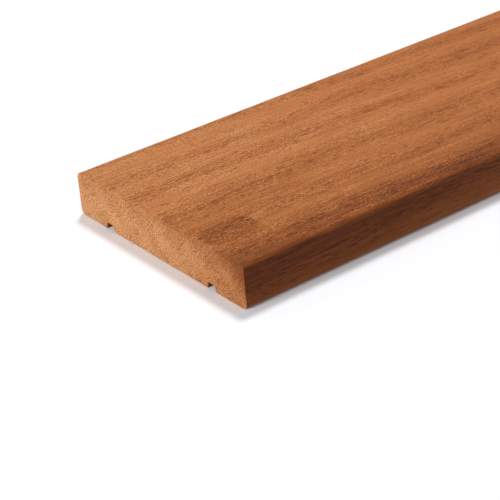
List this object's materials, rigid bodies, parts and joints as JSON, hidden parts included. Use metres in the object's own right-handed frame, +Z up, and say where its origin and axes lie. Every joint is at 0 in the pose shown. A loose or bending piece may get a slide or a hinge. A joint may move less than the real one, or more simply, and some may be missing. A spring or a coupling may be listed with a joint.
{
  "type": "hardwood plank",
  "caption": "Long flat planed hardwood board, smooth on its face with rounded long arrises and shallow relief grooves along its back, for decking, cladding and joinery.",
  "frame": {"origin": "on the floor, under the middle of the board", "axes": "+X along the length, +Y across the width, +Z up out of the smooth face"},
  "size_m": [1.85, 0.145, 0.025],
  "materials": {
    "hardwood": "planed on the long faces, sawn on the ends, unoiled"
  },
  "bodies": {
    "root": {"plank": "hardwood"}
  },
  "joints": []
}
